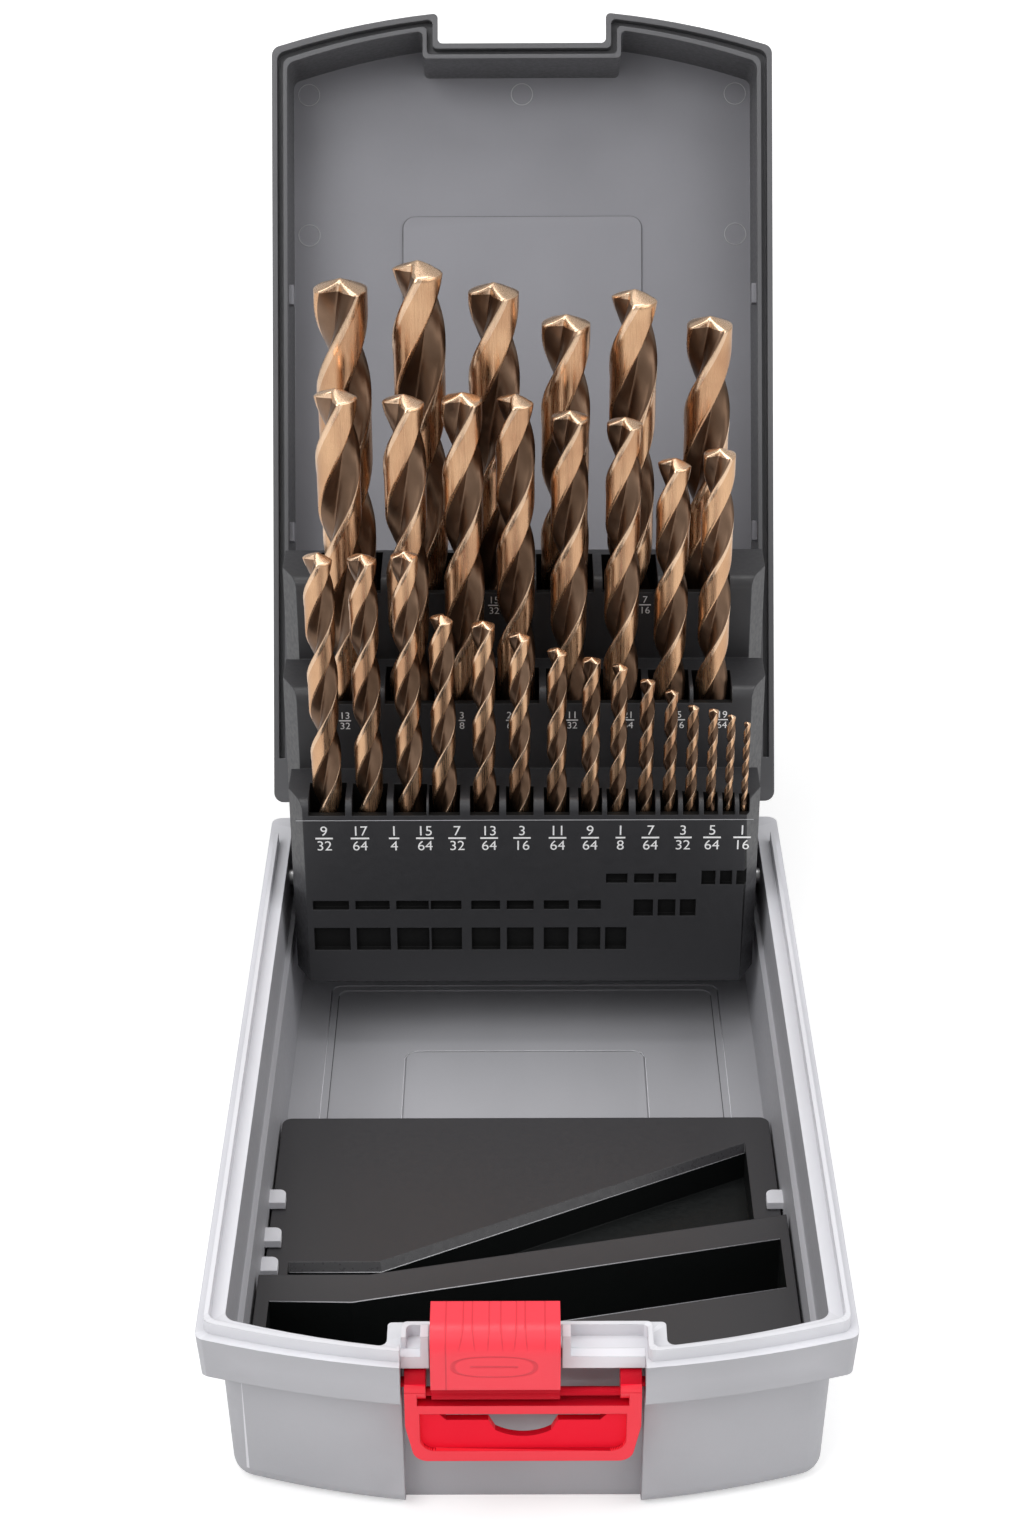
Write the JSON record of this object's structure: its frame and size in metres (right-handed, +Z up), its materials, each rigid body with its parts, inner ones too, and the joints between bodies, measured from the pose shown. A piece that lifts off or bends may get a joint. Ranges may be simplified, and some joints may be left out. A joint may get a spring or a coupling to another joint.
{
  "type": "drill bit case",
  "caption": "Flat grey case with a hinged lid, a stepped rack that stands up with the lid and holds drill bits, slotted black trays and a red draw latch.",
  "frame": {"origin": "on the ground under the middle of the case, at the centre of its flat bottom", "axes": "+Z up, +X to the right of someone facing the latch, -Y towards the latch, +Y towards the lid's hinge"},
  "size_m": [0.128, 0.3284, 0.2178],
  "materials": {
    "case_plastic": "satin",
    "lid_plastic": "satin",
    "rack_plastic": "satin",
    "tray_plastic": "satin",
    "latch_plastic": "gloss",
    "bit_steel": "bronze",
    "pin_steel": "satin"
  },
  "bodies": {
    "base": {"base_tray": "case_plastic", "front_tray": "tray_plastic", "rear_tray": "tray_plastic", "hinge_pin_left": "pin_steel", "hinge_pin_right": "pin_steel", "rack_pivot_left": "pin_steel", "rack_pivot_right": "pin_steel", "latch_guide_left": "case_plastic", "latch_guide_right": "case_plastic"},
    "lid": {"lid": "lid_plastic"},
    "rack": {"rack": "rack_plastic"},
    "lever": {"latch_lever": "latch_plastic", "latch_pin": "latch_plastic"},
    "hook": {"latch_hook": "latch_plastic"},
    "bit_18_64": {"bit_18_64": "bit_steel"},
    "bit_17_64": {"bit_17_64": "bit_steel"},
    "bit_16_64": {"bit_16_64": "bit_steel"},
    "bit_15_64": {"bit_15_64": "bit_steel"},
    "bit_14_64": {"bit_14_64": "bit_steel"},
    "bit_13_64": {"bit_13_64": "bit_steel"},
    "bit_12_64": {"bit_12_64": "bit_steel"},
    "bit_11_64": {"bit_11_64": "bit_steel"},
    "bit_10_64": {"bit_10_64": "bit_steel"},
    "bit_09_64": {"bit_09_64": "bit_steel"},
    "bit_08_64": {"bit_08_64": "bit_steel"},
    "bit_07_64": {"bit_07_64": "bit_steel"},
    "bit_06_64": {"bit_06_64": "bit_steel"},
    "bit_05_64": {"bit_05_64": "bit_steel"},
    "bit_04_64": {"bit_04_64": "bit_steel"},
    "bit_26_64": {"bit_26_64": "bit_steel"},
    "bit_25_64": {"bit_25_64": "bit_steel"},
    "bit_24_64": {"bit_24_64": "bit_steel"},
    "bit_23_64": {"bit_23_64": "bit_steel"},
    "bit_22_64": {"bit_22_64": "bit_steel"},
    "bit_21_64": {"bit_21_64": "bit_steel"},
    "bit_20_64": {"bit_20_64": "bit_steel"},
    "bit_19_64": {"bit_19_64": "bit_steel"},
    "bit_32_64": {"bit_32_64": "bit_steel"},
    "bit_31_64": {"bit_31_64": "bit_steel"},
    "bit_30_64": {"bit_30_64": "bit_steel"},
    "bit_29_64": {"bit_29_64": "bit_steel"},
    "bit_28_64": {"bit_28_64": "bit_steel"},
    "bit_27_64": {"bit_27_64": "bit_steel"}
  },
  "joints": [
    {"name": "lid_hinge", "type": "hinge", "parent": "base", "child": "lid", "pos_m": [0, 0.0997, 0.041], "axis": [-1, 0, 0], "range_deg": [-120, 0]},
    {"name": "latch_lever", "type": "hinge", "parent": "base", "child": "lever", "pos_m": [0, -0.1015, 0.0354], "axis": [-1, 0, 0], "range_deg": [0, 62]},
    {"name": "rack_fold", "type": "hinge", "parent": "base", "child": "rack", "pos_m": [0, 0.0781, 0.036], "axis": [-1, 0, 0], "range_deg": [-90, 0]},
    {"name": "latch_hook", "type": "hinge", "parent": "lever", "child": "hook", "pos_m": [0, -0.1032, 0.0344], "axis": [-1, 0, 0], "range_deg": [-77.5, 0]},
    {"name": "bit_18_64_slide", "type": "slide", "parent": "rack", "child": "bit_18_64", "axis": [0, 0, 1], "range_m": [0, 0.0456]},
    {"name": "bit_17_64_slide", "type": "slide", "parent": "rack", "child": "bit_17_64", "axis": [0, 0, 1], "range_m": [0, 0.0426]},
    {"name": "bit_16_64_slide", "type": "slide", "parent": "rack", "child": "bit_16_64", "axis": [0, 0, 1], "range_m": [0, 0.0386]},
    {"name": "bit_15_64_slide", "type": "slide", "parent": "rack", "child": "bit_15_64", "axis": [0, 0, 1], "range_m": [0, 0.0492]},
    {"name": "bit_14_64_slide", "type": "slide", "parent": "rack", "child": "bit_14_64", "axis": [0, 0, 1], "range_m": [0, 0.0492]},
    {"name": "bit_13_64_slide", "type": "slide", "parent": "rack", "child": "bit_13_64", "axis": [0, 0, 1], "range_m": [0, 0.0492]},
    {"name": "bit_12_64_slide", "type": "slide", "parent": "rack", "child": "bit_12_64", "axis": [0, 0, 1], "range_m": [0, 0.0492]},
    {"name": "bit_11_64_slide", "type": "slide", "parent": "rack", "child": "bit_11_64", "axis": [0, 0, 1], "range_m": [0, 0.0461]},
    {"name": "bit_10_64_slide", "type": "slide", "parent": "rack", "child": "bit_10_64", "axis": [0, 0, 1], "range_m": [0, 0.0447]},
    {"name": "bit_09_64_slide", "type": "slide", "parent": "rack", "child": "bit_09_64", "axis": [0, 0, 1], "range_m": [0, 0.0421]},
    {"name": "bit_08_64_slide", "type": "slide", "parent": "rack", "child": "bit_08_64", "axis": [0, 0, 1], "range_m": [0, 0.0417]},
    {"name": "bit_07_64_slide", "type": "slide", "parent": "rack", "child": "bit_07_64", "axis": [0, 0, 1], "range_m": [0, 0.0425]},
    {"name": "bit_06_64_slide", "type": "slide", "parent": "rack", "child": "bit_06_64", "axis": [0, 0, 1], "range_m": [0, 0.0339]},
    {"name": "bit_05_64_slide", "type": "slide", "parent": "rack", "child": "bit_05_64", "axis": [0, 0, 1], "range_m": [0, 0.029]},
    {"name": "bit_04_64_slide", "type": "slide", "parent": "rack", "child": "bit_04_64", "axis": [0, 0, 1], "range_m": [0, 0.0276]},
    {"name": "bit_26_64_slide", "type": "slide", "parent": "rack", "child": "bit_26_64", "axis": [0, 0, 1], "range_m": [0, 0.0598]},
    {"name": "bit_25_64_slide", "type": "slide", "parent": "rack", "child": "bit_25_64", "axis": [0, 0, 1], "range_m": [0, 0.058]},
    {"name": "bit_24_64_slide", "type": "slide", "parent": "rack", "child": "bit_24_64", "axis": [0, 0, 1], "range_m": [0, 0.0543]},
    {"name": "bit_23_64_slide", "type": "slide", "parent": "rack", "child": "bit_23_64", "axis": [0, 0, 1], "range_m": [0, 0.0515]},
    {"name": "bit_22_64_slide", "type": "slide", "parent": "rack", "child": "bit_22_64", "axis": [0, 0, 1], "range_m": [0, 0.0523]},
    {"name": "bit_21_64_slide", "type": "slide", "parent": "rack", "child": "bit_21_64", "axis": [0, 0, 1], "range_m": [0, 0.0507]},
    {"name": "bit_20_64_slide", "type": "slide", "parent": "rack", "child": "bit_20_64", "axis": [0, 0, 1], "range_m": [0, 0.0575]},
    {"name": "bit_19_64_slide", "type": "slide", "parent": "rack", "child": "bit_19_64", "axis": [0, 0, 1], "range_m": [0, 0.0518]},
    {"name": "bit_32_64_slide", "type": "slide", "parent": "rack", "child": "bit_32_64", "axis": [0, 0, 1], "range_m": [0, 0.0685]},
    {"name": "bit_31_64_slide", "type": "slide", "parent": "rack", "child": "bit_31_64", "axis": [0, 0, 1], "range_m": [0, 0.0685]},
    {"name": "bit_30_64_slide", "type": "slide", "parent": "rack", "child": "bit_30_64", "axis": [0, 0, 1], "range_m": [0, 0.0685]},
    {"name": "bit_29_64_slide", "type": "slide", "parent": "rack", "child": "bit_29_64", "axis": [0, 0, 1], "range_m": [0, 0.0685]},
    {"name": "bit_28_64_slide", "type": "slide", "parent": "rack", "child": "bit_28_64", "axis": [0, 0, 1], "range_m": [0, 0.0685]},
    {"name": "bit_27_64_slide", "type": "slide", "parent": "rack", "child": "bit_27_64", "axis": [0, 0, 1], "range_m": [0, 0.0685]}
  ],
  "couplings": [
    {"joint": "rack_fold", "follows": "lid_hinge", "ratio": 0.75},
    {"joint": "latch_hook", "follows": "latch_lever", "ratio": -1.25}
  ]
}
